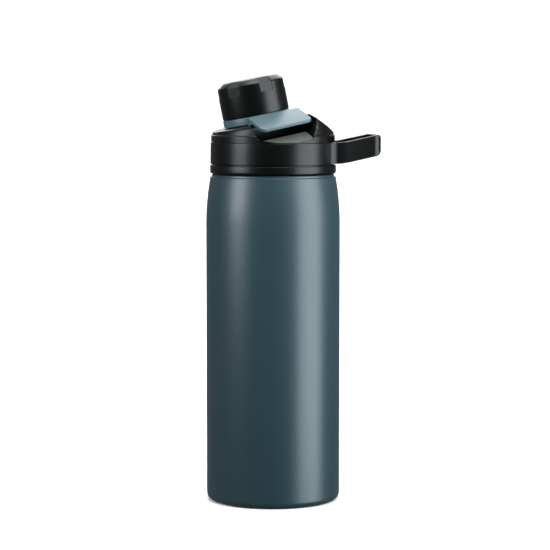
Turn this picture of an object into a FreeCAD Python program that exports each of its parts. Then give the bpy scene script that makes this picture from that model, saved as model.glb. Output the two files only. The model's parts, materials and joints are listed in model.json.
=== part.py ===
import FreeCAD, Part
import math
import os
import re
import Sketcher
from FreeCAD import Placement, Rotation, Vector

# Insulated steel water bottle with a screw-on lid, a side carry loop and a tethered screw cap.
# Frame: millimetres, +Z up, origin at the centre of the base, +X towards the carry loop.

SIZES = {
    # steel bottle
    "body_radius": 36.5,
    "steel_wall": 0.8,
    "base_corner": 3.5,
    "base_opening": 31.0,
    "shoulder_start": 151.0,
    "shoulder_curve": 147.0,
    "shoulder_top": 176.8,
    "shoulder_edge": 34.2,
    "seat_radius": 33.3,
    "seat_top": 178.6,
    "neck_radius": 29.6,
    "rim_height": 188.4,
    "neck_thread_section": 0.7,
    "neck_thread_lead": 4.0,
    "liner_radius": 33.4,
    "liner_neck_radius": 28.0,
    "liner_floor": 12.0,
    "vacuum_floor": 4.0,
    # lid
    "skirt_bottom": 179.6,
    "skirt_radius": 33.0,
    "skirt_bore": 31.9,
    "gasket_top": 189.6,
    "deck_top": 191.3,
    "collar_bottom": 179.0,
    "collar_top": 183.6,
    "collar_radius": 34.3,
    "band_bottom": 184.2,
    "band_top": 196.0,
    "band_radius": 34.1,
    "band_flange_top": 193.4,
    "dome_ledge": 196.4,
    "dome_radius": 33.7,
    "dome_wall": 1.8,
    # leaning drinking spout, tether and cap, measured along the spout's own axis
    "spout_lean": 11.0,
    "cap_base_x": -9.3,
    "cap_base_z": 210.95,
    "deck_drop": 4.5,
    "back_slope": 33.0,
    "back_slope_x": 21.6,
    "back_slope_z": 208.6,
    "deck_ridge_x": 17.0,
    "deck_round": 2.4,
    "spout_radius": 14.2,
    "spout_bore": 10.2,
    "spout_root": 11.8,
    "spout_rim": 12.6,
    "spout_lip": 11.8,
    "cap_radius": 18.25,
    "cap_side_top": 17.0,
    "cap_top_radius": 14.8,
    "cap_height": 19.65,
    "cap_joint_radius": 17.4,
    "cap_bore": 16.6,
    "cap_gap": 0.3,
    "cap_ceiling": 16.6,
    "seal_depth": 1.6,
    "disc_radius": 13.5,
    "disc_seat": 18.6,
    "notch_bottom": 12.0,
    "notch_width": 7.4,
    "cap_thread_lead": 2.7,
    "ring_radius": 18.35,
    "ring_depth": 4.0,
    "ring_bore": 17.55,
    # rocker hinge and thumb tab
    "tab_bearing": -68.0,
    "hinge_reach": 18.7,
    "hinge_drop": 2.7,
    "pin_radius": 0.9,
    "barrel_radius": 1.75,
    "lug_radius": 1.6,
    "tab_slope": 28.0,
    "tab_length": 14.0,
    "tab_lead": 1.4,
    "tab_width": 31.6,
    "tab_thickness": 1.7,
    "tab_rise": 2.32,
    "flip_angle": 76.0,
    "swing_radius": 14.7,
    "swing_half": 16.5,
    "swing_corner": 2.6,
    "scoop_half": 17.0,
    "scoop_corner": 5.0,
    "scoop_depth": 3.4,
    "scoop_dip": 4.5,
    "magnet_station": 7.6,
    "magnet_radius": 4.0,
    # carry loop
    "loop_end_x": 57.8,
    "loop_root_y": 16.4,
    "loop_tip_y": 14.6,
    "loop_strap": 3.0,
}

doc = FreeCAD.newDocument("water_bottle")
sheet = doc.addObject("Spreadsheet::Sheet", "sizes")
for row, (name, number) in enumerate(SIZES.items(), 1):
    sheet.set(f"A{row}", name)
    sheet.set(f"B{row}", str(number))
    sheet.setAlias(f"B{row}", name)
doc.recompute()


def cells(text):
    """Write bare size names as references to the sheet, so that outlines stay short to read."""
    return re.sub(r"[a-z_]+", lambda word: "sizes." * (word[0] in SIZES) + word[0], text)


def size(text):
    """The number that an expression of the sheet's names has."""
    return float(sheet.evalExpression(cells(str(text))))


def origin_plane(body, role):
    return next(plane for plane in body.Origin.OriginFeatures if plane.Role == role)


def bulge_centre(start, end, radius):
    """Centre of the shorter arc from start to end; a negative radius bends the other way."""
    chord = end - start
    reach = math.sqrt(radius ** 2 - (chord.Length / 2) ** 2)
    side = Vector(-chord.y, chord.x, 0).normalize()
    return (start + end) * 0.5 + side * math.copysign(reach, radius)


def draw(body, role, outline):
    """A closed outline whose corners are bound to the sheet.

    A corner is (x, y), or (x, y, radius) where the edge that leaves it is an arc:
    positive with its centre on the left of the way to the next corner.
    """
    sketch = body.newObject("Sketcher::SketchObject", f"{body.Label}_outline")
    sketch.AttachmentSupport = (origin_plane(body, role), [""])
    sketch.MapMode = "FlatFace"
    points = [Vector(size(corner[0]), size(corner[1]), 0) for corner in outline]
    count = len(points)
    starts, ends = [], []
    for index, corner in enumerate(outline):
        start, end = points[index], points[(index + 1) % count]
        if len(corner) == 2:
            sketch.addGeometry(Part.LineSegment(start, end))
            starts.append(1)
            ends.append(2)
            continue
        radius = size(corner[2])
        centre = bulge_centre(start, end, radius)
        circle = Part.Circle(centre, Vector(0, 0, 1), abs(radius))
        first, last = (start, end) if radius > 0 else (end, start)
        angles = [math.atan2(p.y - centre.y, p.x - centre.x) for p in (first, last)]
        if angles[1] < angles[0]:
            angles[1] += 2 * math.pi
        sketch.addGeometry(Part.ArcOfCircle(circle, *angles))
        starts.append(1 if radius > 0 else 2)
        ends.append(2 if radius > 0 else 1)
    for index in range(count):
        following = (index + 1) % count
        sketch.addConstraint(
            Sketcher.Constraint("Coincident", index, ends[index], following, starts[following]))
    for index, corner in enumerate(outline):
        for kind, text, value in (("DistanceX", corner[0], points[index].x),
                                  ("DistanceY", corner[1], points[index].y)):
            number = sketch.addConstraint(
                Sketcher.Constraint(kind, -1, 1, index, starts[index], value))
            sketch.setExpression(f"Constraints[{number}]", cells(text))
        if len(corner) == 3:
            bend = corner[2].lstrip("-")
            number = sketch.addConstraint(Sketcher.Constraint("Radius", index, size(bend)))
            sketch.setExpression(f"Constraints[{number}]", cells(bend))
    return sketch


def turned(name, outline):
    """A body of revolution: the outline gives radius and height."""
    body = doc.addObject("PartDesign::Body", name)
    sketch = draw(body, "XZ_Plane", outline)
    turn = body.newObject("PartDesign::Revolution", f"{name}_turn")
    turn.Profile = sketch
    turn.ReferenceAxis = (sketch, ["V_Axis"])
    turn.Angle = 360
    doc.recompute()
    return body


def padded(name, role, outline, depth, symmetric=True):
    """A body of one thickness, drawn on an origin plane."""
    body = doc.addObject("PartDesign::Body", name)
    sketch = draw(body, role, outline)
    pad = body.newObject("PartDesign::Pad", f"{name}_pad")
    pad.Profile = sketch
    pad.setExpression("Length", cells(depth))
    pad.SideType = "Symmetric" if symmetric else "One side"
    doc.recompute()
    return body


def rounded(body, radius, wanted):
    """Fillet the edges of the body's last feature that the test picks."""
    base = body.Tip
    names = [f"Edge{number}" for number, edge in enumerate(base.Shape.Edges, 1) if wanted(edge)]
    fillet = body.newObject("PartDesign::Fillet", f"{body.Name}_round")
    fillet.Base = (base, names)
    fillet.Radius = radius
    doc.recompute()
    return fillet


def cylinder(name, radius, height, placement, angle="360"):
    shape = doc.addObject("Part::Cylinder", name)
    shape.setExpression("Radius", cells(radius))
    shape.setExpression("Height", cells(height))
    shape.setExpression("Angle", cells(angle))
    shape.Placement = placement
    return shape


def block(name, low, high, placement=Placement()):
    """A box between two corners, given in the frame of the placement."""
    shape = doc.addObject("Part::Box", name)
    corner = Vector(*(size(text) for text in low))
    for side, first, last in zip(("Length", "Width", "Height"), low, high):
        shape.setExpression(side, cells(f"{last} - ( {first} )"))
    shape.Placement = placement.multiply(Placement(corner, Rotation()))
    return shape


def joined(name, shapes):
    result = doc.addObject("Part::MultiFuse", name)
    result.Shapes = shapes
    return result


def cut(name, base, tool):
    result = doc.addObject("Part::Cut", name)
    result.Base = base
    result.Tool = tool
    return result


def common(name, first, second):
    result = doc.addObject("Part::MultiCommon", name)
    result.Shapes = [first, second]
    return result


def thread(name, radius, section, lead, first_height, turns, per_turn, placement=Placement()):
    """Interrupted screw thread: short rolled ridges that climb a helix, with vents between them."""
    ridges = []
    span = 360 / per_turn
    climb = math.degrees(math.atan(size(lead) / (2 * math.pi * size(radius))))
    for index in range(round(turns * per_turn)):
        ridge = doc.addObject("Part::Torus", f"{name}_{index}")
        ridge.setExpression("Radius1", cells(radius))
        ridge.setExpression("Radius2", cells(section))
        ridge.Angle3 = 0.8 * span
        middle = Rotation(Vector(0, 0, 1), -0.4 * span)
        tilt = Rotation(Vector(1, 0, 0), climb)
        around = Rotation(Vector(0, 0, 1), index * span)
        height = size(first_height) + size(lead) * index / per_turn
        local = Placement(Vector(0, 0, height), around.multiply(tilt).multiply(middle))
        ridge.Placement = placement.multiply(local)
        ridges.append(ridge)
    return ridges


# Frames that the leaning pieces are drawn in.
SPOUT = Placement(Vector(size("cap_base_x"), 0, size("cap_base_z")),
                  Rotation(Vector(0, 1, 0), -size("spout_lean")))
TETHER = SPOUT.multiply(Placement(Vector(), Rotation(Vector(0, 0, 1), size("tab_bearing"))))
HINGE = TETHER.multiply(Placement(Vector(size("hinge_reach"), 0, -size("hinge_drop")), Rotation()))
TAB = HINGE.multiply(Placement(Vector(), Rotation(Vector(0, 1, 0), size("tab_slope"))))
OPEN_TAB = HINGE.multiply(
    Placement(Vector(), Rotation(Vector(0, 1, 0), size("tab_slope + flip_angle"))))
ALONG_HINGE = Rotation(Vector(1, 0, 0), -90)


def pin_bar(name, radius, first, last):
    """A round bar on the hinge axis, between two stations along it."""
    start = HINGE.multiply(Placement(Vector(0, size(first), 0), ALONG_HINGE))
    return cylinder(name, radius, f"{last} - ( {first} )", start)


# --- steel bottle: two walls with a vacuum between them ---------------------------------------

wall_shell = turned("wall_shell", [
    ("base_opening", "0"),
    ("body_radius - base_corner", "0", "base_corner"),
    ("body_radius", "base_corner"),
    ("body_radius", "shoulder_start", "shoulder_curve"),
    ("shoulder_edge", "shoulder_top", "0.7"),
    ("shoulder_edge - 0.6", "shoulder_top + 0.6"),
    ("seat_radius", "shoulder_top + 0.6"),
    ("seat_radius", "seat_top - 0.4", "0.4"),
    ("seat_radius - 0.4", "seat_top"),
    ("neck_radius", "seat_top"),
    ("neck_radius", "rim_height - steel_wall"),
    ("neck_radius - steel_wall", "rim_height - steel_wall"),
    ("neck_radius - steel_wall", "seat_top - steel_wall"),
    ("seat_radius - steel_wall", "seat_top - steel_wall"),
    ("seat_radius - steel_wall", "shoulder_top - 0.4"),
    ("shoulder_edge - steel_wall", "shoulder_top - 0.4", "-shoulder_curve"),
    ("body_radius - steel_wall", "shoulder_start"),
    ("body_radius - steel_wall", "base_corner", "-2.7"),
    ("body_radius - base_corner", "steel_wall"),
    ("base_opening", "steel_wall"),
])
outer_wall = joined("outer_wall", [wall_shell] + thread(
    "neck_ridge", "neck_radius", "neck_thread_section", "neck_thread_lead",
    "seat_top + 2.2", 1.5, 6))

inner_vessel = turned("inner_vessel", [
    ("0", "liner_floor"),
    ("liner_radius - 5", "liner_floor", "5"),
    ("liner_radius", "liner_floor + 5"),
    ("liner_radius", "164", "9"),
    ("liner_neck_radius", "174"),
    ("liner_neck_radius", "rim_height - steel_wall"),
    ("neck_radius", "rim_height - steel_wall"),
    ("neck_radius", "rim_height - 0.3", "0.3"),
    ("neck_radius - 0.3", "rim_height"),
    ("liner_neck_radius - 0.4", "rim_height", "0.3"),
    ("liner_neck_radius - 0.7", "rim_height - 0.3"),
    ("liner_neck_radius - 0.7", "173.6", "-8.3"),
    ("liner_radius - 0.7", "163.7"),
    ("liner_radius - 0.7", "liner_floor + 5", "-4.3"),
    ("liner_radius - 5", "liner_floor + 0.7"),
    ("0", "liner_floor + 0.7"),
])

outer_bottom = turned("outer_bottom", [
    ("2.2", "vacuum_floor"),
    ("body_radius - steel_wall", "vacuum_floor"),
    ("body_radius - steel_wall", "vacuum_floor + 4"),
    ("body_radius - 2 * steel_wall", "vacuum_floor + 4"),
    ("body_radius - 2 * steel_wall", "vacuum_floor + steel_wall"),
    ("6", "vacuum_floor + steel_wall"),
    ("5.4", "vacuum_floor + 1.4"),
    ("2.2", "vacuum_floor + 1.4"),
])

vacuum_seal = turned("vacuum_seal", [
    ("0", "vacuum_floor + 0.2"),
    ("2.2", "vacuum_floor + 0.2"),
    ("2.2", "vacuum_floor + 1.4"),
    ("0", "vacuum_floor + 1.4"),
])

getter = cylinder("getter", "4", "1.6", Placement(
    Vector(18, 0, size("vacuum_floor + steel_wall")), Rotation()))

base_cover = turned("base_cover", [
    ("0", "0"),
    ("base_opening - 0.15", "0"),
    ("base_opening - 0.15", "steel_wall"),
    ("base_opening + 2", "steel_wall"),
    ("base_opening + 2", "2 * steel_wall"),
    ("0", "2 * steel_wall"),
])

# --- lid: threaded core, grip collar, band with the carry loop, dome ---------------------------

lid_gasket = turned("lid_gasket", [
    ("27.6", "rim_height + 0.05"),
    ("30.6", "rim_height + 0.05"),
    ("30.6", "gasket_top - 0.05"),
    ("27.6", "gasket_top - 0.05"),
])

core_shell = turned("core_shell", [
    ("skirt_bore", "skirt_bottom"),
    ("skirt_radius", "skirt_bottom"),
    ("skirt_radius", "deck_top"),
    ("0", "deck_top"),
    ("0", "gasket_top"),
    ("skirt_bore", "gasket_top"),
])
core_threaded = joined("core_threaded", [core_shell] + thread(
    "skirt_ridge", "skirt_bore", "neck_thread_section", "neck_thread_lead",
    "seat_top + 4.2", 1.25, 6))
BELOW_DECK = SPOUT.multiply(Placement(Vector(0, 0, -30), Rotation()))
lid_core = cut("lid_core", core_threaded, cylinder("core_bore", "spout_root + 0.02", "30", BELOW_DECK))

collar_ring = turned("collar_ring", [
    ("skirt_bore", "collar_bottom"),
    ("collar_radius - 1.2", "collar_bottom", "1.2"),
    ("collar_radius", "collar_bottom + 1.2"),
    ("collar_radius", "collar_top - 0.4", "0.4"),
    ("collar_radius - 0.4", "collar_top"),
    ("skirt_radius", "collar_top"),
    ("skirt_radius", "skirt_bottom"),
    ("skirt_bore", "skirt_bottom"),
])
marks = [block(f"index_mark_{number}", ("collar_radius - 0.25", "-0.25", "collar_bottom + 1"),
               ("collar_radius + 1", "0.25", "collar_top + 1"),
               Placement(Vector(), Rotation(Vector(0, 0, 1), bearing)))
         for number, bearing in enumerate((-84.0, -80.0))]
lower_collar = cut("lower_collar", collar_ring, joined("index_marks", marks))

# The band and the loop are one moulding: a ring, and a strap that leaves it on both sides.
band_ring = turned("band_ring", [
    ("skirt_radius", "band_bottom"),
    ("band_radius - 0.4", "band_bottom", "0.4"),
    ("band_radius", "band_bottom + 0.4"),
    ("band_radius - 0.1", "band_top - 0.4", "0.4"),
    ("band_radius - 0.5", "band_top"),
    ("skirt_radius", "band_top"),
    ("skirt_radius", "band_flange_top"),
    ("skirt_radius - 3.5", "band_flange_top"),
    ("skirt_radius - 3.5", "deck_top"),
    ("skirt_radius", "deck_top"),
])
loop_outside = padded("loop_outside", "XY_Plane", [
    ("22", "-loop_root_y - 6"),
    ("29", "-loop_root_y - 1.6", "-7"),
    ("34.5", "-loop_root_y"),
    ("loop_end_x - 5", "-loop_tip_y", "4.7"),
    ("loop_end_x", "-loop_tip_y + 4.7"),
    ("loop_end_x", "loop_tip_y - 4.7", "4.7"),
    ("loop_end_x - 5", "loop_tip_y"),
    ("34.5", "loop_root_y", "-7"),
    ("29", "loop_root_y + 1.6"),
    ("22", "loop_root_y + 6"),
], "240", symmetric=False)
loop_inside = padded("loop_inside", "XY_Plane", [
    ("20", "-loop_root_y + loop_strap"),
    ("34.5", "-loop_root_y + loop_strap"),
    ("loop_end_x - 5.2", "-loop_tip_y + loop_strap", "2.2"),
    ("loop_end_x - loop_strap", "-loop_tip_y + loop_strap + 2.2"),
    ("loop_end_x - loop_strap", "loop_tip_y - loop_strap - 2.2", "2.2"),
    ("loop_end_x - 5.2", "loop_tip_y - loop_strap"),
    ("34.5", "loop_root_y - loop_strap"),
    ("20", "loop_root_y - loop_strap"),
], "240", symmetric=False)
loop_side = padded("loop_side", "XZ_Plane", [
    ("20", "band_bottom + 0.3"),
    ("31.5", "band_bottom + 0.3", "45"),
    ("41", "band_bottom + 1.35"),
    ("loop_end_x - 4", "band_bottom + 4.1", "4"),
    ("loop_end_x", "band_bottom + 8.2"),
    ("loop_end_x", "band_top + 2.4", "2.4"),
    ("loop_end_x - 2.6", "band_top + 4.1"),
    ("40.2", "band_top + 0.9", "-45"),
    ("31.5", "band_top - 0.1"),
    ("20", "band_top - 0.1"),
], "60")
loop_solid = common("loop_solid", cut("loop_plan", loop_outside, loop_inside), loop_side)
ring_void = cylinder("ring_void", "skirt_radius", "60", Placement(Vector(0, 0, 150), Rotation()))
loop_strap = cut("loop_strap", loop_solid, ring_void)
handle_band = joined("handle_band", [band_ring, loop_strap])

# --- leaning spout ------------------------------------------------------------------------------

spout_tube = turned("spout_tube", [
    ("spout_bore", "-20.2"),
    ("spout_root", "-20.2"),
    ("spout_root", "-deck_drop"),
    ("spout_radius", "-deck_drop"),
    ("spout_radius", "7.4"),
    ("spout_lip", "10.6"),
    ("spout_lip", "spout_rim - 0.8", "0.8"),
    ("spout_lip - 0.8", "spout_rim"),
    ("spout_bore + 0.4", "spout_rim", "0.4"),
    ("spout_bore", "spout_rim - 0.4"),
])
spout_tube.Placement = SPOUT
spout_body = joined("spout_body", [spout_tube] + thread(
    "spout_ridge", "14.35", "0.8", "cap_thread_lead", "-0.6", 1.5, 5, SPOUT))
below_lid = block("below_lid", ("-60", "-60", "100"), ("60", "60", "gasket_top"))
drinking_spout = cut("drinking_spout", spout_body, below_lid)

# --- dome: hollow moulding with a thumb scoop and a pocket for the tab's swing ------------------

dome_form = turned("dome_form", [
    ("0", "band_flange_top"),
    ("skirt_radius - 0.05", "band_flange_top"),
    ("skirt_radius - 0.05", "dome_ledge"),
    ("dome_radius", "dome_ledge"),
    ("dome_radius", "dome_ledge + 3.2"),
    ("dome_radius - 0.5", "dome_ledge + 3.7"),
    ("dome_radius - 3.4", "dome_ledge + 18"),
    ("0", "dome_ledge + 18"),
])


def over_deck(name, lowered):
    """Everything above the leaning deck and the back slope, or above a surface parallel to them."""
    deck = "cap_base_z - deck_drop / cos(spout_lean) - {} + ({} - cap_base_x) * tan(spout_lean)"
    back = "back_slope_z - {} - (60 - back_slope_x) * tan(back_slope)"
    return padded(name, "XZ_Plane", [
        ("-60", deck.format(lowered, -60)),
        ("deck_ridge_x", deck.format(lowered, "deck_ridge_x")),
        ("60", back.format(lowered)),
        ("60", "260"),
        ("-60", "260"),
    ], "90")


def scoop_form(name, extra):
    """The thumb scoop under the tab: a tray open towards the rim, with one lower corner eased."""
    tray = padded(name, "YZ_Plane", [
        (f"-scoop_half - {extra}", "20"),
        (f"-scoop_half - {extra}", f"-{extra}"),
        (f"scoop_half + {extra} - scoop_corner", f"-{extra}"),
        (f"scoop_half + {extra}", "scoop_corner"),
        (f"scoop_half + {extra}", "20"),
    ], "60", symmetric=False)
    tray.Placement = TAB.multiply(Placement(Vector(0, 0, -size("scoop_depth")),
                                            Rotation(Vector(0, 1, 0), size("scoop_dip"))))
    return tray


def swing_form(name, extra):
    """Sector about the hinge pin that the tab sweeps, round-cornered like the tab's own tip."""
    start = HINGE.multiply(Placement(Vector(0, -size(f"swing_half + {extra}"), 0),
                                     Rotation(Vector(0, 1, 0), -20).multiply(ALONG_HINGE)))
    sector = cylinder(f"{name}_sector", f"swing_radius + {extra}", f"2 * (swing_half + {extra})", start,
                      "tab_slope + flip_angle + 20")
    drum = turned(f"{name}_drum", [
        ("0", f"-swing_half - {extra}"),
        ("swing_radius - swing_corner", f"-swing_half - {extra}", f"swing_corner + {extra}"),
        (f"swing_radius + {extra}", "-swing_half + swing_corner"),
        (f"swing_radius + {extra}", "swing_half - swing_corner", f"swing_corner + {extra}"),
        ("swing_radius - swing_corner", f"swing_half + {extra}"),
        ("0", f"swing_half + {extra}"),
    ])
    drum.Placement = HINGE.multiply(Placement(Vector(), ALONG_HINGE))
    return common(name, sector, drum)


dome_outside = cut("dome_outside", dome_form, over_deck("over_deck", "0"))
doc.recompute()


def on_deck_rim(edge):
    """The long edge where the leaning deck meets the dome's wall, short of the ridge."""
    return edge.BoundBox.ZMin > size("dome_ledge + 4.5") and edge.BoundBox.XMin < 0


dome_round = doc.addObject("Part::Fillet", "dome_round")
dome_round.Base = dome_outside
dome_round.Edges = [(number, size("deck_round"), size("deck_round"))
                    for number, edge in enumerate(dome_outside.Shape.Edges, 1) if on_deck_rim(edge)]

cavity_form = turned("cavity_form", [
    ("0", "band_flange_top - 1"),
    ("dome_radius - 2 * dome_wall", "band_flange_top - 1"),
    ("dome_radius - 2 * dome_wall", "dome_ledge + 9"),
    ("dome_radius - 3 * dome_wall", "dome_ledge + 18"),
    ("0", "dome_ledge + 18"),
])
back_wall = block("back_wall", ("-4", "-scoop_half - dome_wall", "-2.7"),
                  ("swing_radius + 0.9", "scoop_half + dome_wall", "0.5"), OPEN_TAB)
spout_boss = cylinder("spout_boss", "spout_root + 1.5", "40", BELOW_DECK)
solid_places = joined("solid_places", [
    over_deck("over_cavity", "dome_wall"), scoop_form("scoop_floor", "1.5"),
    swing_form("swing_wall", "1.2"), back_wall, spout_boss])
cavity = cut("cavity", cavity_form, solid_places)
voids = joined("voids", [
    cavity, scoop_form("scoop", "0"), swing_form("swing", "0"),
    cylinder("spout_hole", "spout_root", "40", BELOW_DECK)])
dome_open = cut("dome_open", dome_round, voids)

lugs = []
for side, (first, last) in enumerate((("-12.9", "-10.3"), ("10.3", "12.9"))):
    lugs.append(pin_bar(f"lug_{side}", "lug_radius", first, last))
    lugs.append(block(f"lug_root_{side}", ("-lug_radius", first, "-2.4"), ("-0.15", last, "-0.4"), HINGE))


def disc(name, radius, low, high, frame):
    """A magnet or its cover: a disc square to the tab, at the magnet's station along it."""
    place = frame.multiply(Placement(Vector(size("magnet_station"), 0, size(low)), Rotation()))
    return cylinder(name, radius, f"{high} - ({low})", place)


lid_dome = cut("lid_dome", joined("dome_lugged", [dome_open] + lugs), joined("dome_bores", [
    pin_bar("lug_bore", "pin_radius", "-16", "16"),
    disc("dock_pocket", "magnet_radius", "-1.6", "0.1", OPEN_TAB)]))
dock_magnet = disc("dock_magnet", "magnet_radius", "-1.6", "-0.4", OPEN_TAB)
dock_cover = disc("dock_cover", "magnet_radius", "-0.4", "0", OPEN_TAB)
hinge_pin = pin_bar("hinge_pin", "pin_radius", "-15.6", "15.6")

seal_disc = cylinder("seal_disc", "14.6", "band_flange_top - deck_top", Placement(
    Vector(size("cap_base_x + (cap_base_z - deck_top) * tan(spout_lean)") - 0.2, 0, size("deck_top")),
    Rotation()))
spout_seal = cut("spout_seal", seal_disc, cylinder("seal_bore", "spout_root", "60", BELOW_DECK))

# --- tether: ring under the cap, hinge barrels and the wide thumb tab ---------------------------

tether_ring = turned("tether_ring", [
    ("16.3", "-ring_depth"),
    ("ring_radius - 0.5", "-ring_depth", "0.5"),
    ("ring_radius", "-ring_depth + 0.5"),
    ("ring_radius", "-0.4", "0.4"),
    ("ring_radius - 0.4", "0"),
    ("ring_bore", "0"),
    ("ring_bore", "-ring_depth + 0.8"),
    ("16.3", "-ring_depth + 0.8"),
])
tether_ring.Placement = TETHER
tab_plate = padded("tab_plate", "XY_Plane", [
    ("1 - tab_lead", "-tab_width / 2"),
    ("tab_length - 2.5", "-tab_width / 2", "2.5"),
    ("tab_length", "-tab_width / 2 + 2.5"),
    ("tab_length", "tab_width / 2 - 2.5", "2.5"),
    ("tab_length - 2.5", "tab_width / 2"),
    ("1 - tab_lead", "tab_width / 2", "1"),
    ("-tab_lead", "tab_width / 2 - 1"),
    ("-tab_lead", "-tab_width / 2 + 1", "1"),
], "tab_thickness", symmetric=False)
rounded(tab_plate, 0.45, lambda edge: edge.BoundBox.ZMin > size("tab_thickness") - 0.01)
tab_plate.Placement = TAB.multiply(
    Placement(Vector(0, 0, size("tab_rise - tab_thickness")), Rotation()))
tether_solid = joined("tether_solid", [
    tether_ring, tab_plate,
    pin_bar("barrel_near", "barrel_radius", "-15.8", "-13.2"),
    pin_bar("barrel_middle", "barrel_radius", "-9.9", "9.9"),
    pin_bar("barrel_far", "barrel_radius", "13.2", "15.8"),
    block("ring_web", ("-4", "-9.9", "-1.2"), ("0", "9.9", "1.4"), HINGE),
    disc("magnet_pod", "magnet_radius + 1.4", "0.22", "0.7", TAB)])
tether = cut("tether", tether_solid, joined("tether_bores", [
    cylinder("ring_hole", "ring_bore", "6",
             SPOUT.multiply(Placement(Vector(0, 0, -size("ring_depth") + 0.8), Rotation()))),
    cylinder("lip_hole", "16.3", "8", SPOUT.multiply(Placement(Vector(0, 0, -5), Rotation()))),
    pin_bar("barrel_bore", "pin_radius + 0.05", "-17", "17"),
    pin_bar("near_lug_room", "lug_radius + 0.25", "-13.2", "-9.9"),
    pin_bar("far_lug_room", "lug_radius + 0.25", "9.9", "13.2"),
    disc("tab_pocket", "magnet_radius", "0.1", "1.82", TAB)]))
tab_magnet = disc("tab_magnet", "magnet_radius", "0.62", "1.82", TAB)
tab_magnet_cover = disc("tab_magnet_cover", "magnet_radius", "0.22", "0.62", TAB)

# --- cap: outer shell with grip notches, threaded liner, seal, and the ring that keeps it --------

CAP = SPOUT.multiply(Placement(Vector(), Rotation(Vector(0, 0, 1), -10)))

cap_retainer = turned("cap_retainer", [
    ("16.1", "-3.1"),
    ("17.4", "-3.1"),
    ("17.4", "-0.9"),
    ("16.9", "-0.9"),
    ("16.9", "-2.4"),
    ("16.1", "-2.4"),
])
cap_retainer.Placement = SPOUT

cap_shell = turned("cap_shell", [
    ("cap_joint_radius", "cap_gap"),
    ("cap_radius - 0.3", "cap_gap", "0.3"),
    ("cap_radius", "cap_gap + 0.3"),
    ("cap_radius", "cap_side_top - 0.3"),
    ("cap_radius - 0.3", "cap_side_top + 0.23"),
    ("cap_top_radius + 0.3", "cap_height - 0.23"),
    ("cap_top_radius - 0.2", "cap_height"),
    ("disc_radius", "cap_height"),
    ("disc_radius", "disc_seat"),
    ("0", "disc_seat"),
    ("0", "cap_ceiling"),
    ("16.2", "cap_ceiling"),
    ("16.2", "9.4"),
    ("cap_joint_radius", "9.4"),
])
notch = draw(cap_shell, "XZ_Plane", [
    ("17.65", "notch_bottom"),
    ("20", "notch_bottom"),
    ("20", "21"),
    ("14", "21"),
    ("14", "19.56"),
    ("17.65", "16.76"),
])
notch_cut = cap_shell.newObject("PartDesign::Pocket", "notch_cut")
notch_cut.Profile = notch
notch_cut.SideType = "Symmetric"
notch_cut.setExpression("Length", cells("notch_width"))
doc.recompute()
notches = cap_shell.newObject("PartDesign::PolarPattern", "notches")
notches.Originals = [notch_cut]
notches.Axis = (notch, ["V_Axis"])
notches.Angle = 360
notches.Occurrences = 6
cap_shell.Tip = notches
cap_shell.Placement = CAP

cap_top_disc = turned("cap_top_disc", [
    ("0", "disc_seat"),
    ("disc_radius", "disc_seat"),
    ("disc_radius", "cap_height - 0.25", "0.25"),
    ("disc_radius - 0.25", "cap_height"),
    ("0", "cap_height"),
])
cap_top_disc.Placement = CAP

liner_shell = turned("liner_shell", [
    ("16.1", "-2.3"),
    ("16.8", "-2.3"),
    ("16.8", "-1.6"),
    ("16.5", "-1.6"),
    ("16.5", "cap_gap"),
    ("cap_joint_radius", "cap_gap"),
    ("cap_joint_radius", "9.4"),
    ("16.2", "9.4"),
    ("16.2", "cap_ceiling"),
    ("0", "cap_ceiling"),
    ("0", "spout_rim + seal_depth"),
    ("15.2", "spout_rim + seal_depth"),
    ("15.2", "8.7"),
    ("cap_bore", "7.5"),
    ("cap_bore", "0.5"),
    ("16.1", "0"),
])
liner_shell.Placement = CAP
cap_liner = joined("cap_liner", [liner_shell] + thread(
    "liner_ridge", "cap_bore", "0.5", "cap_thread_lead", "1.6", 1.2, 5, CAP))

cap_seal = turned("cap_seal", [
    ("9.6", "spout_rim + 0.05"),
    ("13.8", "spout_rim + 0.05"),
    ("13.8", "spout_rim + seal_depth"),
    ("9.6", "spout_rim + seal_depth"),
])
cap_seal.Placement = SPOUT

doc.recompute()

NODES = [outer_wall, inner_vessel, outer_bottom, getter, vacuum_seal, base_cover, lid_gasket, lid_core,
         lower_collar, handle_band, drinking_spout, spout_seal, lid_dome, dock_magnet, dock_cover,
         hinge_pin, tether, tab_magnet, tab_magnet_cover, cap_retainer, cap_shell, cap_top_disc,
         cap_liner, cap_seal]

for item in doc.Objects:
    if "Invalid" in item.State or "Error" in item.State:
        raise RuntimeError(f"{item.Label} failed: {item.State}")

os.makedirs("parts", exist_ok=True)
for node in NODES:
    shape = node.Shape
    if shape.isNull() or not shape.isValid() or len(shape.Solids) != 1:
        raise RuntimeError(f"{node.Label} is not one valid solid")
    shape.exportStep(f"parts/{node.Label}.step")
    box = shape.BoundBox
    print(f"{node.Label:18s} {shape.Volume:10.1f} mm3  z {box.ZMin:7.2f} to {box.ZMax:7.2f}")
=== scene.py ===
# %% [markdown]
# Water bottle with a screw lid, a side carry loop and a tethered cap.
# The measured model of the bottle comes in as a frame, and this script gives it its finished looks.
# A turned shape such as the steel wall is made by spinning its outline, which keeps its shine smooth.
# A moulded shape such as the lid keeps its measured faces, and only its sharp edges are rounded.

# %% The frame
import json
import math

import bmesh
import bpy
from mathutils import Matrix, Vector

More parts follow.
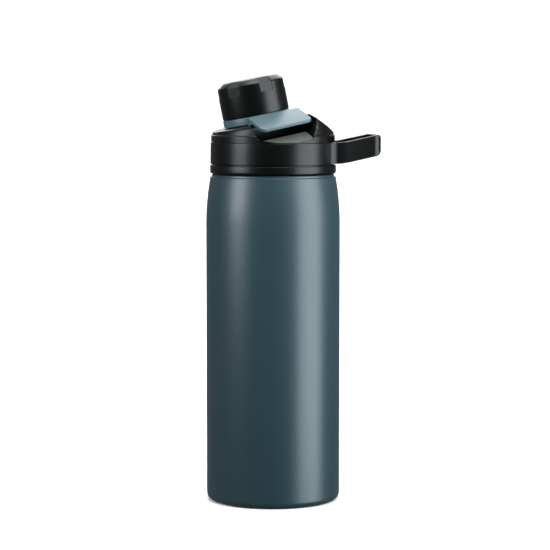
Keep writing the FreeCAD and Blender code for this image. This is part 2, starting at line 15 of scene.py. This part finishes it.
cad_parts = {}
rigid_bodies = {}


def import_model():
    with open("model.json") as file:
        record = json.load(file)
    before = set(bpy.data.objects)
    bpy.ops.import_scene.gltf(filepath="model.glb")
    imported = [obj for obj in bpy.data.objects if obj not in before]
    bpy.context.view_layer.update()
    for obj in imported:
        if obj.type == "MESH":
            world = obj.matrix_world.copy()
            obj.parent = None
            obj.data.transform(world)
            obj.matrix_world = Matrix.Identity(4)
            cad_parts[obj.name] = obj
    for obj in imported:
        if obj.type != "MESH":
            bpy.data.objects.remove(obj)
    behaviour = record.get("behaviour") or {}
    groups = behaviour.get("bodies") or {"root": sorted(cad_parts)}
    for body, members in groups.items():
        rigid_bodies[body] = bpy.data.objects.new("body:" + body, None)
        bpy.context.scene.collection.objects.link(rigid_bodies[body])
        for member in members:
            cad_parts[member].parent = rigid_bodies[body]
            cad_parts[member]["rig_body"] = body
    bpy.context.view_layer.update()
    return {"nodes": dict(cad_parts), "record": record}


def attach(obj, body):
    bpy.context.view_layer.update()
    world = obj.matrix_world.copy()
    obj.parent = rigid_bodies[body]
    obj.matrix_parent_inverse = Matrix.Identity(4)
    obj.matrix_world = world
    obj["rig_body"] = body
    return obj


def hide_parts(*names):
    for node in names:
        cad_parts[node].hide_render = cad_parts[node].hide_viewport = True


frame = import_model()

MM = 0.001
SLOT_OF = {entry["node"]: entry["material_slot"] for entry in frame["record"]["subparts"]}

# %% [markdown]
# A finish is a small graph of nodes. Each one on this bottle is a grain that breaks up the gloss and
# dents the surface a little, so one helper builds it: a fine grain, a broader waviness and a slow drift
# of the colour. All three read Object coordinates, so the pattern stays on the piece when it moves.

# %% A helper for finishes
DRIFT_MM, COLOUR_DRIFT, GLOSS_DRIFT = 28.0, 0.04, 0.05


def grained_finish(name, colour, roughness, grain_mm, grain_dent, wave_mm, wave_dent,
                   metallic=0.0, stretch=(1, 1, 1), tinted=(1, 1, 1), shine=0.5):
    """A Principled material. Sizes and dents are in millimetres; tinted colours the highlights."""
    material = bpy.data.materials.new(name)
    material.use_nodes = True
    nodes, links = material.node_tree.nodes, material.node_tree.links
    shader = nodes["Principled BSDF"]
    shader.inputs["Metallic"].default_value = metallic
    shader.inputs["Specular Tint"].default_value = (*tinted, 1)
    shader.inputs["Specular IOR Level"].default_value = shine
    place = nodes.new("ShaderNodeTexCoord")
    mapping = nodes.new("ShaderNodeMapping")
    mapping.inputs["Scale"].default_value = stretch
    links.new(place.outputs["Object"], mapping.inputs["Vector"])

    def noise(size_mm, detail):
        node = nodes.new("ShaderNodeTexNoise")
        node.inputs["Scale"].default_value = 1 / (size_mm * MM)
        node.inputs["Detail"].default_value = detail
        links.new(mapping.outputs["Vector"], node.inputs["Vector"])
        return node.outputs["Fac"]

    def bump(height, dent_mm, under=None):
        node = nodes.new("ShaderNodeBump")
        node.inputs["Strength"].default_value = 1.0
        node.inputs["Distance"].default_value = dent_mm * MM
        links.new(height, node.inputs["Height"])
        if under:
            links.new(under, node.inputs["Normal"])
        return node.outputs["Normal"]

    grain, wave, slow = noise(grain_mm, 2.0), noise(wave_mm, 1.0), noise(DRIFT_MM, 2.0)
    tint = nodes.new("ShaderNodeMix")
    tint.data_type = "RGBA"
    tint.inputs["A"].default_value = (*[part * (1 - COLOUR_DRIFT) for part in colour], 1)
    tint.inputs["B"].default_value = (*[part * (1 + COLOUR_DRIFT) for part in colour], 1)
    links.new(slow, tint.inputs["Factor"])
    links.new(tint.outputs["Result"], shader.inputs["Base Color"])
    gloss = nodes.new("ShaderNodeMapRange")
    gloss.inputs["To Min"].default_value = roughness - GLOSS_DRIFT
    gloss.inputs["To Max"].default_value = roughness + GLOSS_DRIFT
    links.new(grain, gloss.inputs["Value"])
    links.new(gloss.outputs["Result"], shader.inputs["Roughness"])
    links.new(bump(wave, wave_dent, bump(grain, grain_dent)), shader.inputs["Normal"])
    return material


# %% [markdown]
# The steel is sprayed with powder and baked, which leaves a satin slate blue with a fine orange peel.
# The lid is black moulded plastic with a slight spark texture, and the tether is the same plastic in a
# grey blue. The bare steel, the seal and the magnets are seen only from below or when the lid is open.

# %% The finishes
COOL_SHINE = (0.84, 0.95, 1.0)
FINISHES = {
    "powder_coat": grained_finish("slate powder coat", (0.015, 0.037, 0.048), 0.37,
                                  0.55, 0.012, 1.6, 0.02, tinted=COOL_SHINE),
    "bare_steel": grained_finish("brushed steel", (0.62, 0.61, 0.59), 0.32,
                                 0.5, 0.01, 4.0, 0.01, metallic=1.0, stretch=(1, 1, 14)),
    "getter_alloy": grained_finish("getter alloy", (0.36, 0.35, 0.33), 0.5,
                                   0.4, 0.02, 2.0, 0.02, metallic=1.0),
    "solder_glass": grained_finish("sealing glass", (0.22, 0.22, 0.2), 0.25, 0.6, 0.01, 2.0, 0.01),
    "black_plastic": grained_finish("black lid plastic", (0.0007, 0.0008, 0.0008), 0.32,
                                    0.35, 0.006, 2.4, 0.008, tinted=COOL_SHINE, shine=0.24),
    "cap_insert_plastic": grained_finish("dark cap insert", (0.018, 0.02, 0.021), 0.5,
                                         0.3, 0.01, 2.0, 0.01),
    "blue_plastic": grained_finish("grey blue plastic", (0.046, 0.092, 0.113), 0.38,
                                   0.3, 0.006, 2.4, 0.008),
    "grey_silicone": grained_finish("grey silicone", (0.34, 0.35, 0.35), 0.6, 0.4, 0.008, 2.0, 0.01),
    "magnet_nickel": grained_finish("nickel plate", (0.66, 0.64, 0.6), 0.22,
                                    0.5, 0.004, 3.0, 0.004, metallic=1.0),
    "pin_steel": grained_finish("pin steel", (0.58, 0.57, 0.55), 0.28,
                                0.3, 0.004, 2.0, 0.004, metallic=1.0),
}
# The scoop's floor is painted a paler grey green, as painted light where it catches light under the tab.
SCOOP_PAINTED_LIGHT = grained_finish("scoop plastic with painted light", (0.048, 0.062, 0.054), 0.42,
                              0.3, 0.008, 2.0, 0.01, shine=0.3)
for node, cad_object in frame["nodes"].items():
    cad_object.data.materials.clear()
    cad_object.data.materials.append(FINISHES[SLOT_OF[node]])
print("finishes:", ", ".join(FINISHES))

# %% [markdown]
# Every finished piece goes through the same last steps: its faces are shaded smooth, edges that fold
# more than a set angle stay crisp, the piece is tied to the body that carries it and takes the finish of
# the measured node that it stands for, and that node is hidden.

# %% A helper that finishes a piece


def finish_piece(mesh_edit, name, node, crisp=32.0):
    """Turns a bmesh into an object that stands for a measured node."""
    for face in mesh_edit.faces:
        face.smooth = True
    for edge in mesh_edit.edges:
        edge.smooth = len(edge.link_faces) == 2 and edge.calc_face_angle(0) < math.radians(crisp)
    mesh = bpy.data.meshes.new(name)
    mesh_edit.to_mesh(mesh)
    mesh_edit.free()
    piece = bpy.data.objects.new(name, mesh)
    bpy.context.scene.collection.objects.link(piece)
    mesh.materials.append(FINISHES[SLOT_OF[node]])
    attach(piece, frame["nodes"][node]["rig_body"])
    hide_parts(node)
    return piece


# %% [markdown]
# A turned shape is its outline spun once round the bottle's axis. The outline could be typed as many
# small steps, but a few corners and a vertex bevel give the same rounded edges with less to go wrong.

# %% A helper that spins an outline


def verts_of(geometry):
    """The vertices among the parts that a bmesh operator gives back."""
    return [part for part in geometry if isinstance(part, bmesh.types.BMVert)]


def spun(outline, steps=192, at=Matrix.Identity(4)):
    """A bmesh of revolution. Each corner is (radius, height, rounding) in millimetres."""
    mesh_edit = bmesh.new()
    corners = [mesh_edit.verts.new((radius * MM, 0, height * MM)) for radius, height, _ in outline]
    pairs = list(zip(corners, corners[1:]))
    if outline[0][0] > 0 or outline[-1][0] > 0:
        pairs.append((corners[-1], corners[0]))
    for pair in pairs:
        mesh_edit.edges.new(pair)
    for corner, (_, _, rounding) in zip(corners, outline):
        if rounding:
            bmesh.ops.bevel(mesh_edit, geom=[corner], offset=rounding * MM, offset_type="OFFSET",
                            affect="VERTICES", segments=5, profile=0.5, material=-1, clamp_overlap=True)
    bmesh.ops.spin(mesh_edit, geom=mesh_edit.verts[:] + mesh_edit.edges[:], cent=(0, 0, 0),
                   axis=(0, 0, 1), angle=2 * math.pi, steps=steps, use_merge=True)
    bmesh.ops.remove_doubles(mesh_edit, verts=mesh_edit.verts[:], dist=1e-7)
    bmesh.ops.recalc_face_normals(mesh_edit, faces=mesh_edit.faces[:])
    bmesh.ops.transform(mesh_edit, matrix=at, verts=mesh_edit.verts[:])
    return mesh_edit


# %% [markdown]
# The moulded pieces are not turned, so each is a copy of its measured mesh. The copy's loose triangles
# are merged first, then flat areas are joined into single faces, and a Bevel rounds the sharp edges as a
# mould would. Hardened normals keep the flat faces flat beside their new round edges.

# %% A helper that softens a measured piece


def softened(node, name, rounding=0.0, chosen=lambda place: True, crisp=30.0):
    """A copy of a measured node, with its sharp edges rounded where chosen(place in mm) is true."""
    mesh_edit = bmesh.new()
    mesh_edit.from_mesh(frame["nodes"][node].data)
    bmesh.ops.remove_doubles(mesh_edit, verts=mesh_edit.verts[:], dist=2e-6)
    bmesh.ops.dissolve_limit(mesh_edit, angle_limit=math.radians(0.3), use_dissolve_boundaries=False,
                             verts=mesh_edit.verts[:], edges=mesh_edit.edges[:])
    if rounding:
        weight = mesh_edit.edges.layers.float.new("bevel_weight_edge")
        for edge in mesh_edit.edges:
            middle = (edge.verts[0].co + edge.verts[1].co) / (2 * MM)
            folds = len(edge.link_faces) == 2 and edge.calc_face_angle(0) > math.radians(crisp)
            edge[weight] = float(folds and chosen(middle))
    piece = finish_piece(mesh_edit, name, node, crisp)
    if rounding:
        bevel = piece.modifiers.new("rounded edges", "BEVEL")
        bevel.width = rounding * MM
        bevel.segments = 4
        bevel.limit_method = "WEIGHT"
        bevel.use_clamp_overlap = False
        bevel.harden_normals = True
    return piece


# %% [markdown]
# The steel bottle is one long wall that tapers in at the shoulder, steps in to a seat under the lid and
# ends in the threaded neck. Its shoulder is a very flat arc, which needs many short steps to shine
# without bands.

# %% The coated steel wall
STEEL = 0.8
BODY_RADIUS, BASE_OPENING, FOOT, FOOT_EDGE = 36.5, 31.0, 3.5, 0.47
SHOULDER_START, SHOULDER_TOP, SHOULDER_EDGE, SHOULDER_STEPS = 151.0, 176.8, 34.2, 12
LIP, SEAT_RADIUS, SEAT_TOP, NECK_RADIUS, RIM = 0.6, 33.3, 178.6, 29.6, 188.4
shoulder = []
for step in range(SHOULDER_STEPS + 1):
    climb = step / SHOULDER_STEPS
    height = SHOULDER_START + (SHOULDER_TOP - SHOULDER_START) * climb
    shoulder.append((BODY_RADIUS - (BODY_RADIUS - SHOULDER_EDGE) * climb ** 2, height, 0.0))
print("shoulder corners:", len(shoulder))

foot = [(BASE_OPENING, 0, 0.2), (BODY_RADIUS - FOOT, 0, 0), (BODY_RADIUS - FOOT / 2, FOOT_EDGE, 0),
        (BODY_RADIUS - FOOT_EDGE, FOOT / 2, 0), (BODY_RADIUS, FOOT, 0)]
seat_and_neck = [(SHOULDER_EDGE, SHOULDER_TOP + LIP, 0.5), (SEAT_RADIUS, SHOULDER_TOP + LIP, 0.15),
                 (SEAT_RADIUS, SEAT_TOP, 0.4), (NECK_RADIUS, SEAT_TOP, 0.3),
                 (NECK_RADIUS, RIM - STEEL, 0), (NECK_RADIUS - STEEL, RIM - STEEL, 0)]
inside = [(NECK_RADIUS - STEEL, SEAT_TOP - STEEL, 0), (SEAT_RADIUS - STEEL, SEAT_TOP - STEEL, 0),
          (SEAT_RADIUS - STEEL, SHOULDER_TOP - STEEL / 2, 0),
          (SHOULDER_EDGE - STEEL, SHOULDER_TOP - STEEL / 2, 0),
          (BODY_RADIUS - STEEL, SHOULDER_START, 0), (BODY_RADIUS - STEEL, FOOT, 0.6),
          (BODY_RADIUS - FOOT, STEEL, 0.4), (BASE_OPENING, STEEL, 0)]
wall = spun(foot + shoulder + seat_and_neck + inside)
print("wall:", len(wall.faces), "faces")

# %% [markdown]
# The neck's thread is rolled outwards in short ridges, with gaps between them that let air out. A ridge
# is a small circle spun a little way round the neck while it climbs, and the ring is repeated upwards.

# %% The neck thread
THREAD_SECTION, THREAD_LEAD, THREAD_START = 0.7, 4.0, 2.2
RIDGES, RIDGES_PER_TURN, RIDGE_SHARE, RIDGE_STEPS = 9, 6, 0.8, 12
for index in range(RIDGES):
    span = math.radians(RIDGE_SHARE * 360 / RIDGES_PER_TURN)
    climb = THREAD_LEAD * span / (2 * math.pi)
    height = SEAT_TOP + THREAD_START + THREAD_LEAD * index / RIDGES_PER_TURN - climb / 2
    start = (Matrix.Rotation(2 * math.pi * index / RIDGES_PER_TURN - span / 2, 4, "Z")
             @ Matrix.Translation((NECK_RADIUS * MM, 0, height * MM))
             @ Matrix.Rotation(math.pi / 2, 4, "X"))
    circle = bmesh.ops.create_circle(wall, cap_ends=True, segments=10,
                                     radius=THREAD_SECTION * MM, matrix=start)
    face = circle["verts"][0].link_faces[0]
    bmesh.ops.spin(wall, geom=[face] + list(face.edges) + list(face.verts), cent=(0, 0, 0),
                   axis=(0, 0, 1), dvec=(0, 0, climb * MM / RIDGE_STEPS), angle=span, steps=RIDGE_STEPS)
bmesh.ops.recalc_face_normals(wall, faces=wall.faces[:])
finish_piece(wall, "coated_wall", "outer_wall")
print("neck ridges:", RIDGES)

# %% [markdown]
# Inside the wall stands a second one, the liner that holds the drink. Only its rim shows, where the two
# walls are welded, so it is another spun outline in brushed steel. The base is closed by a plain disc.

# %% The liner and the base
LINER_OUTSIDE, LINER_INSIDE, THROAT_OUTSIDE, THROAT_INSIDE = 33.4, 32.7, 28.0, 27.3
LINER_UNDERSIDE, LINER_FLOOR = 12.0, 12.7
finish_piece(spun([
    (0, LINER_UNDERSIDE, 0), (LINER_OUTSIDE, LINER_UNDERSIDE, 4.5), (LINER_OUTSIDE, 164.0, 3.0),
    (THROAT_OUTSIDE, 174.0, 2.0), (THROAT_OUTSIDE, RIM - STEEL, 0), (NECK_RADIUS, RIM - STEEL, 0),
    (NECK_RADIUS, RIM, 0.3), (THROAT_INSIDE, RIM, 0.3), (THROAT_INSIDE, 173.6, 2.0),
    (LINER_INSIDE, 163.7, 3.0), (LINER_INSIDE, LINER_FLOOR, 3.8), (0, LINER_FLOOR, 0)]),
    "steel_liner", "inner_vessel")
DISC_RADIUS, DISC_FLANGE = 30.85, 33.0
finish_piece(spun([
    (0, 0, 0), (DISC_RADIUS, 0, 0.2), (DISC_RADIUS, STEEL, 0), (DISC_FLANGE, STEEL, 0),
    (DISC_FLANGE, 2 * STEEL, 0), (0, 2 * STEEL, 0)]), "base_disc", "base_cover")
print("liner and base disc")

# %% [markdown]
# The lid's lowest piece is the collar that a hand grips to unscrew it. It is turned, so it is spun too,
# in finer steps. Two short upright marks are sunk in its front by pushing a few of its faces inwards,
# which leaves the rest of the collar's shine alone, as a Boolean would not.

# %% The collar
COLLAR_RADIUS, COLLAR_BOTTOM, COLLAR_TOP, MARKS_START = 34.3, 179.0, 183.6, 1.6
COLLAR_INSIDE, COLLAR_HOLE, COLLAR_FLOOR = 33.0, 31.9, 179.6
MARK_BEARINGS, MARK_HALF_ANGLE, MARK_DEPTH = (-84, -80), 0.5, 0.25
collar = spun([
    (COLLAR_HOLE, COLLAR_BOTTOM, 0), (COLLAR_RADIUS, COLLAR_BOTTOM, 1.2),
    (COLLAR_RADIUS, COLLAR_BOTTOM + MARKS_START, 0), (COLLAR_RADIUS, COLLAR_TOP, 0.35),
    (COLLAR_INSIDE, COLLAR_TOP, 0), (COLLAR_INSIDE, COLLAR_FLOOR, 0),
    (COLLAR_HOLE, COLLAR_FLOOR, 0)], steps=360)
marks = []
for face in collar.faces:
    place = face.calc_center_median() / MM
    bearing = math.degrees(math.atan2(place.y, place.x))
    outside = place.xy.length > COLLAR_RADIUS - 0.1 and place.z > COLLAR_BOTTOM + MARKS_START
    if outside and any(abs(bearing - mark) <= MARK_HALF_ANGLE for mark in MARK_BEARINGS):
        marks.append(face)
sunk = bmesh.ops.extrude_face_region(collar, geom=marks)["geom"]
bmesh.ops.delete(collar, geom=marks, context="FACES_ONLY")
inward = 1 - MARK_DEPTH / COLLAR_RADIUS
bmesh.ops.scale(collar, vec=(inward, inward, 1), verts=verts_of(sunk))
finish_piece(collar, "grip_collar", "lower_collar")
print("collar marks:", len(marks), "faces sunk")

# %% [markdown]
# Most of the moulded pieces are small or hidden, and keep their measured edges. The carry loop is the
# roundest piece, because a hand holds it. The dome's outer edge in front has a small rounding that
# catches a thin line of light.

# %% The moulded pieces
PLAIN_PIECES = {
    "lid_core": "threaded_core", "drinking_spout": "spout",
    "cap_retainer": "cap_keeper", "cap_top_disc": "cap_disc", "cap_liner": "cap_inside",
    "hinge_pin": "pin", "dock_cover": "dock_disc", "tab_magnet_cover": "tab_disc",
    "tether": "ring_and_tab",
}
for node, name in PLAIN_PIECES.items():
    softened(node, name)

LOOP_ROUNDING, DOME_ROUNDING = 0.6, 0.35
DOME_EDGE_HEIGHTS, DOME_EDGE_RADIUS, DOME_EDGE_BACK = (196.9, 204), 31.5, -3


def on_loop(place):
    """True where the carry loop stands out past the band."""
    return place.x > BODY_RADIUS


def on_dome_edge(place):
    """True on the dome's outer edge in front."""
    low_end, high_end = DOME_EDGE_HEIGHTS
    return (low_end < place.z < high_end and place.xy.length > DOME_EDGE_RADIUS
            and place.x > DOME_EDGE_BACK)


loop = softened("handle_band", "band_and_loop", LOOP_ROUNDING, on_loop)
dome = softened("lid_dome", "dome", DOME_ROUNDING, on_dome_edge)
for piece in (loop, dome):
    dense = piece.evaluated_get(bpy.context.evaluated_depsgraph_get())
    corners = [dense.matrix_world @ Vector(corner) for corner in dense.bound_box]
    print(piece.name, [[round(pick(part[axis] for part in corners) / MM, 1) for axis in range(3)]
                       for pick in (min, max)])

# %% [markdown]
# The thumb scoop's floor under the tab is painted paler than the rest of the dome. This is painted
# light, standing in for the light that the floor catches under the tab, and the floor also has a finer
# texture. The two could be separate pieces, but they are one moulding, so the painted floor is a second
# material on the dome. Its faces are found by the way they face, since the floor is a flat slope under
# the tab.

# %% The scoop's floor
SPOUT_LEAN, TAB_BEARING, SCOOP_SLOPE = 11.0, -68.0, 32.5
ALIGNED, SCOOP_TOP = 0.995, 206
scoop_faces_up = (Matrix.Rotation(math.radians(-SPOUT_LEAN), 3, "Y")
                  @ Matrix.Rotation(math.radians(TAB_BEARING), 3, "Z")
                  @ Matrix.Rotation(math.radians(SCOOP_SLOPE), 3, "Y") @ Vector((0, 0, 1)))
dome.data.materials.append(SCOOP_PAINTED_LIGHT)
# Faces that face along the floor's slope get the paler painted light.
for face in dome.data.polygons:
    if face.normal.dot(scoop_faces_up) > ALIGNED and face.center.z < SCOOP_TOP * MM:
        face.material_index = 1
print("scoop:", sum(face.material_index for face in dome.data.polygons), "faces")

# %% [markdown]
# The cap leans back with the spout, so it is made upright and then turned into its place. Its outside is
# spun, and six finger notches are cut from its top edge by a Boolean with one cutter repeated round it.
# Cutting a spun wall keeps its columns of faces even, and so its shine stays smooth beside the notches.

# %% The cap's outside
CAP_BASE, CAP_TURN = Vector((-9.3, 0, 210.95)), -10.0
CAP_RADIUS, CAP_BOTTOM, CAP_TOP = 18.25, 0.3, 19.65
CHAMFER_START, CHAMFER_RADIUS, RECESS_RADIUS, RECESS_FLOOR = 17.0, 14.8, 13.5, 18.6
BORE_RADIUS, BORE_TOP, MOUTH_RADIUS, MOUTH_TOP = 16.2, 16.6, 17.4, 9.4
leaning = (Matrix.Translation(CAP_BASE * MM) @ Matrix.Rotation(math.radians(-SPOUT_LEAN), 4, "Y")
           @ Matrix.Rotation(math.radians(CAP_TURN), 4, "Z"))
cap_turned = spun([
    (MOUTH_RADIUS, CAP_BOTTOM, 0), (CAP_RADIUS, CAP_BOTTOM, 0.3), (CAP_RADIUS, CHAMFER_START, 0.5),
    (CHAMFER_RADIUS, CAP_TOP, 0.4), (RECESS_RADIUS, CAP_TOP, 0.15), (RECESS_RADIUS, RECESS_FLOOR, 0),
    (0, RECESS_FLOOR, 0), (0, BORE_TOP, 0), (BORE_RADIUS, BORE_TOP, 0), (BORE_RADIUS, MOUTH_TOP, 0),
    (MOUTH_RADIUS, MOUTH_TOP, 0)], at=leaning)
cap_outside = finish_piece(cap_turned, "cap_outside", "cap_shell", crisp=40)
print("cap before its notches:", len(cap_outside.data.polygons), "faces")

# %% The cap's notches
NOTCHES, NOTCH_WIDTH, NOTCH_ROUNDING, NOTCH_FOLD = 6, 7.4, 0.22, math.radians(25)
NOTCH_OUTLINE = ((17.65, 12.0), (20, 12.0), (20, 21), (14, 21), (14, 19.56), (17.65, 16.76))
cutter = bmesh.new()
for index in range(NOTCHES):
    corners = [cutter.verts.new((radius * MM, -NOTCH_WIDTH / 2 * MM, height * MM))
               for radius, height in NOTCH_OUTLINE]
    side = cutter.faces.new(corners)
    grown = verts_of(bmesh.ops.extrude_face_region(cutter, geom=[side])["geom"])
    bmesh.ops.translate(cutter, verts=grown, vec=(0, NOTCH_WIDTH * MM, 0))
    bmesh.ops.rotate(cutter, cent=(0, 0, 0), verts=corners + grown,
                     matrix=Matrix.Rotation(math.tau * index / NOTCHES, 3, "Z"))
bmesh.ops.recalc_face_normals(cutter, faces=cutter.faces[:])
bmesh.ops.transform(cutter, matrix=leaning, verts=cutter.verts[:])
cutter_mesh = bpy.data.meshes.new("notch_cutter")
cutter.to_mesh(cutter_mesh)
cutter.free()
notch_cutter = bpy.data.objects.new("notch_cutter", cutter_mesh)
bpy.context.scene.collection.objects.link(notch_cutter)
cutting = cap_outside.modifiers.new("notches", "BOOLEAN")
cutting.operation, cutting.solver, cutting.object = "DIFFERENCE", "EXACT", notch_cutter
bpy.context.view_layer.update()
cap_now = cap_outside.evaluated_get(bpy.context.evaluated_depsgraph_get())
notched = bpy.data.meshes.new_from_object(cap_now)
cap_outside.modifiers.clear()
bpy.data.objects.remove(notch_cutter)
cut_edit = bmesh.new()
cut_edit.from_mesh(notched)
for edge in cut_edit.edges:
    edge.smooth = len(edge.link_faces) == 2 and edge.calc_face_angle(0) < NOTCH_FOLD
cut_edit.to_mesh(cap_outside.data)
cut_edit.free()
eased = cap_outside.modifiers.new("rounded edges", "BEVEL")
eased.width, eased.segments, eased.limit_method = NOTCH_ROUNDING * MM, 3, "ANGLE"
eased.angle_limit, eased.use_clamp_overlap, eased.harden_normals = NOTCH_FOLD, True, True
print("cap:", len(cap_outside.data.polygons), "faces,", NOTCHES, "notches")

# %% [markdown]
# The bottle stands on a plain pale floor that curves up behind it, as in a small studio. One long strip
# bent upwards does it, so there is no line where the floor ends. It takes shadows but sends no light
# back, as if black cards lay round the bottle, which keeps the dark middle of the steel dark.

# %% The floor
FLOOR_FRONT, FLOOR_LENGTH, FLOOR_HALF_WIDTH, BEND_RADIUS, BACKDROP_HEIGHT = -0.9, 2.4, 0.8, 1.0, 2.5
sweep = bmesh.new()
front = sweep.edges.new([sweep.verts.new((x, FLOOR_FRONT, 0))
                         for x in (-FLOOR_HALF_WIDTH, FLOOR_HALF_WIDTH)])
flat = bmesh.ops.extrude_edge_only(sweep, edges=[front])["geom"]
bmesh.ops.translate(sweep, verts=verts_of(flat), vec=(0, FLOOR_LENGTH, 0))
last = [part for part in flat if isinstance(part, bmesh.types.BMEdge)]
bmesh.ops.spin(sweep, geom=last + verts_of(flat), axis=(1, 0, 0), angle=math.radians(90), steps=24,
               cent=(0, FLOOR_FRONT + FLOOR_LENGTH, BEND_RADIUS))
top = [part for part in sweep.edges
       if all(abs(vert.co.z - BEND_RADIUS) < 1e-4 for vert in part.verts)]
raised = bmesh.ops.extrude_edge_only(sweep, edges=top)["geom"]
bmesh.ops.translate(sweep, verts=verts_of(raised), vec=(0, 0, BACKDROP_HEIGHT))
for face in sweep.faces:
    face.smooth = True
bmesh.ops.recalc_face_normals(sweep, faces=sweep.faces[:])
floor_mesh = bpy.data.meshes.new("studio_floor")
sweep.to_mesh(floor_mesh)
sweep.free()
studio_floor = bpy.data.objects.new("studio_floor", floor_mesh)
bpy.context.scene.collection.objects.link(studio_floor)
paper = bpy.data.materials.new("white paper")
paper.use_nodes = True
paper_shader = paper.node_tree.nodes["Principled BSDF"]
paper_shader.inputs["Base Color"].default_value = (0.93, 0.93, 0.93, 1)
paper_shader.inputs["Roughness"].default_value = 0.9
paper_shader.inputs["Specular IOR Level"].default_value = 0.1
floor_mesh.materials.append(paper)
studio_floor.visible_diffuse = False
studio_floor.visible_glossy = False
print("floor:", len(floor_mesh.polygons), "faces")

# %% [markdown]
# Two big soft boxes to the left and the right give the bottle its two long bands of light, with a dark
# middle between them. A small one high in front lights the cap, a low one behind draws the far edge, one
# overhead lights the lid's upper faces, and a wide one farther back lights the floor behind the bottle.
# The room itself is a dim even grey.

# %% The lights


def soft_box(name, bearing, elevation, distance, width, height, power, aim=(0, 0, 0.12)):
    """An area light at a bearing from the camera's side of the bottle, turned towards the bottle."""
    turn, rise = math.radians(bearing), math.radians(elevation)
    away = Vector((math.sin(turn) * math.cos(rise), -math.cos(turn) * math.cos(rise), math.sin(rise)))
    light = bpy.data.lights.new(name, "AREA")
    light.shape = "RECTANGLE"
    light.size, light.size_y = width, height
    light.energy = power
    lamp = bpy.data.objects.new(name, light)
    lamp.location = Vector(aim) + away * distance
    lamp.rotation_mode = "QUATERNION"
    lamp.rotation_quaternion = away.to_track_quat("Z", "Y")
    bpy.context.scene.collection.objects.link(lamp)


VIEW_BEARING = -8.0
soft_box("left soft box", VIEW_BEARING - 62, 17, 1.1, 0.5, 0.7, 12)
soft_box("low back box", VIEW_BEARING + 180, 24, 1.8, 1.3, 0.6, 9)
soft_box("front top box", VIEW_BEARING + 34, 46, 1.1, 0.5, 0.5, 7)
soft_box("right soft box", VIEW_BEARING + 66, 0, 1.1, 0.9, 1.4, 34)
soft_box("overhead", 0, 88, 1.1, 0.6, 0.6, 10)
soft_box("back overhead", 180, 88, 1.5, 1.5, 1.6, 30, aim=(0, 1.4, 0))
world = bpy.data.worlds.new("studio room")
bpy.context.scene.world = world
world.use_nodes = True
room = world.node_tree.nodes["Background"]
room.inputs["Color"].default_value = (1, 1, 1, 1)
room.inputs["Strength"].default_value = 0.15
bpy.context.scene.view_settings.view_transform = "Standard"

# %% [markdown]
# The camera stands about 1.2 metres away, a little above the bottle's middle, with a long lens that
# keeps the two sides of the bottle nearly parallel.

# %% The camera
lens = bpy.data.cameras.new("camera")
lens.sensor_width = 36.0
lens.lens = 141.0
camera = bpy.data.objects.new("camera", lens)
camera.location = (-0.1635, -1.1636, 0.227)
look_at = Vector((0.0011, 0, 0.1233))
camera.rotation_mode = "QUATERNION"
camera.rotation_quaternion = (camera.location - look_at).to_track_quat("Z", "Y")
bpy.context.scene.collection.objects.link(camera)
bpy.context.scene.camera = camera
print("camera at", [round(part, 3) for part in camera.location])
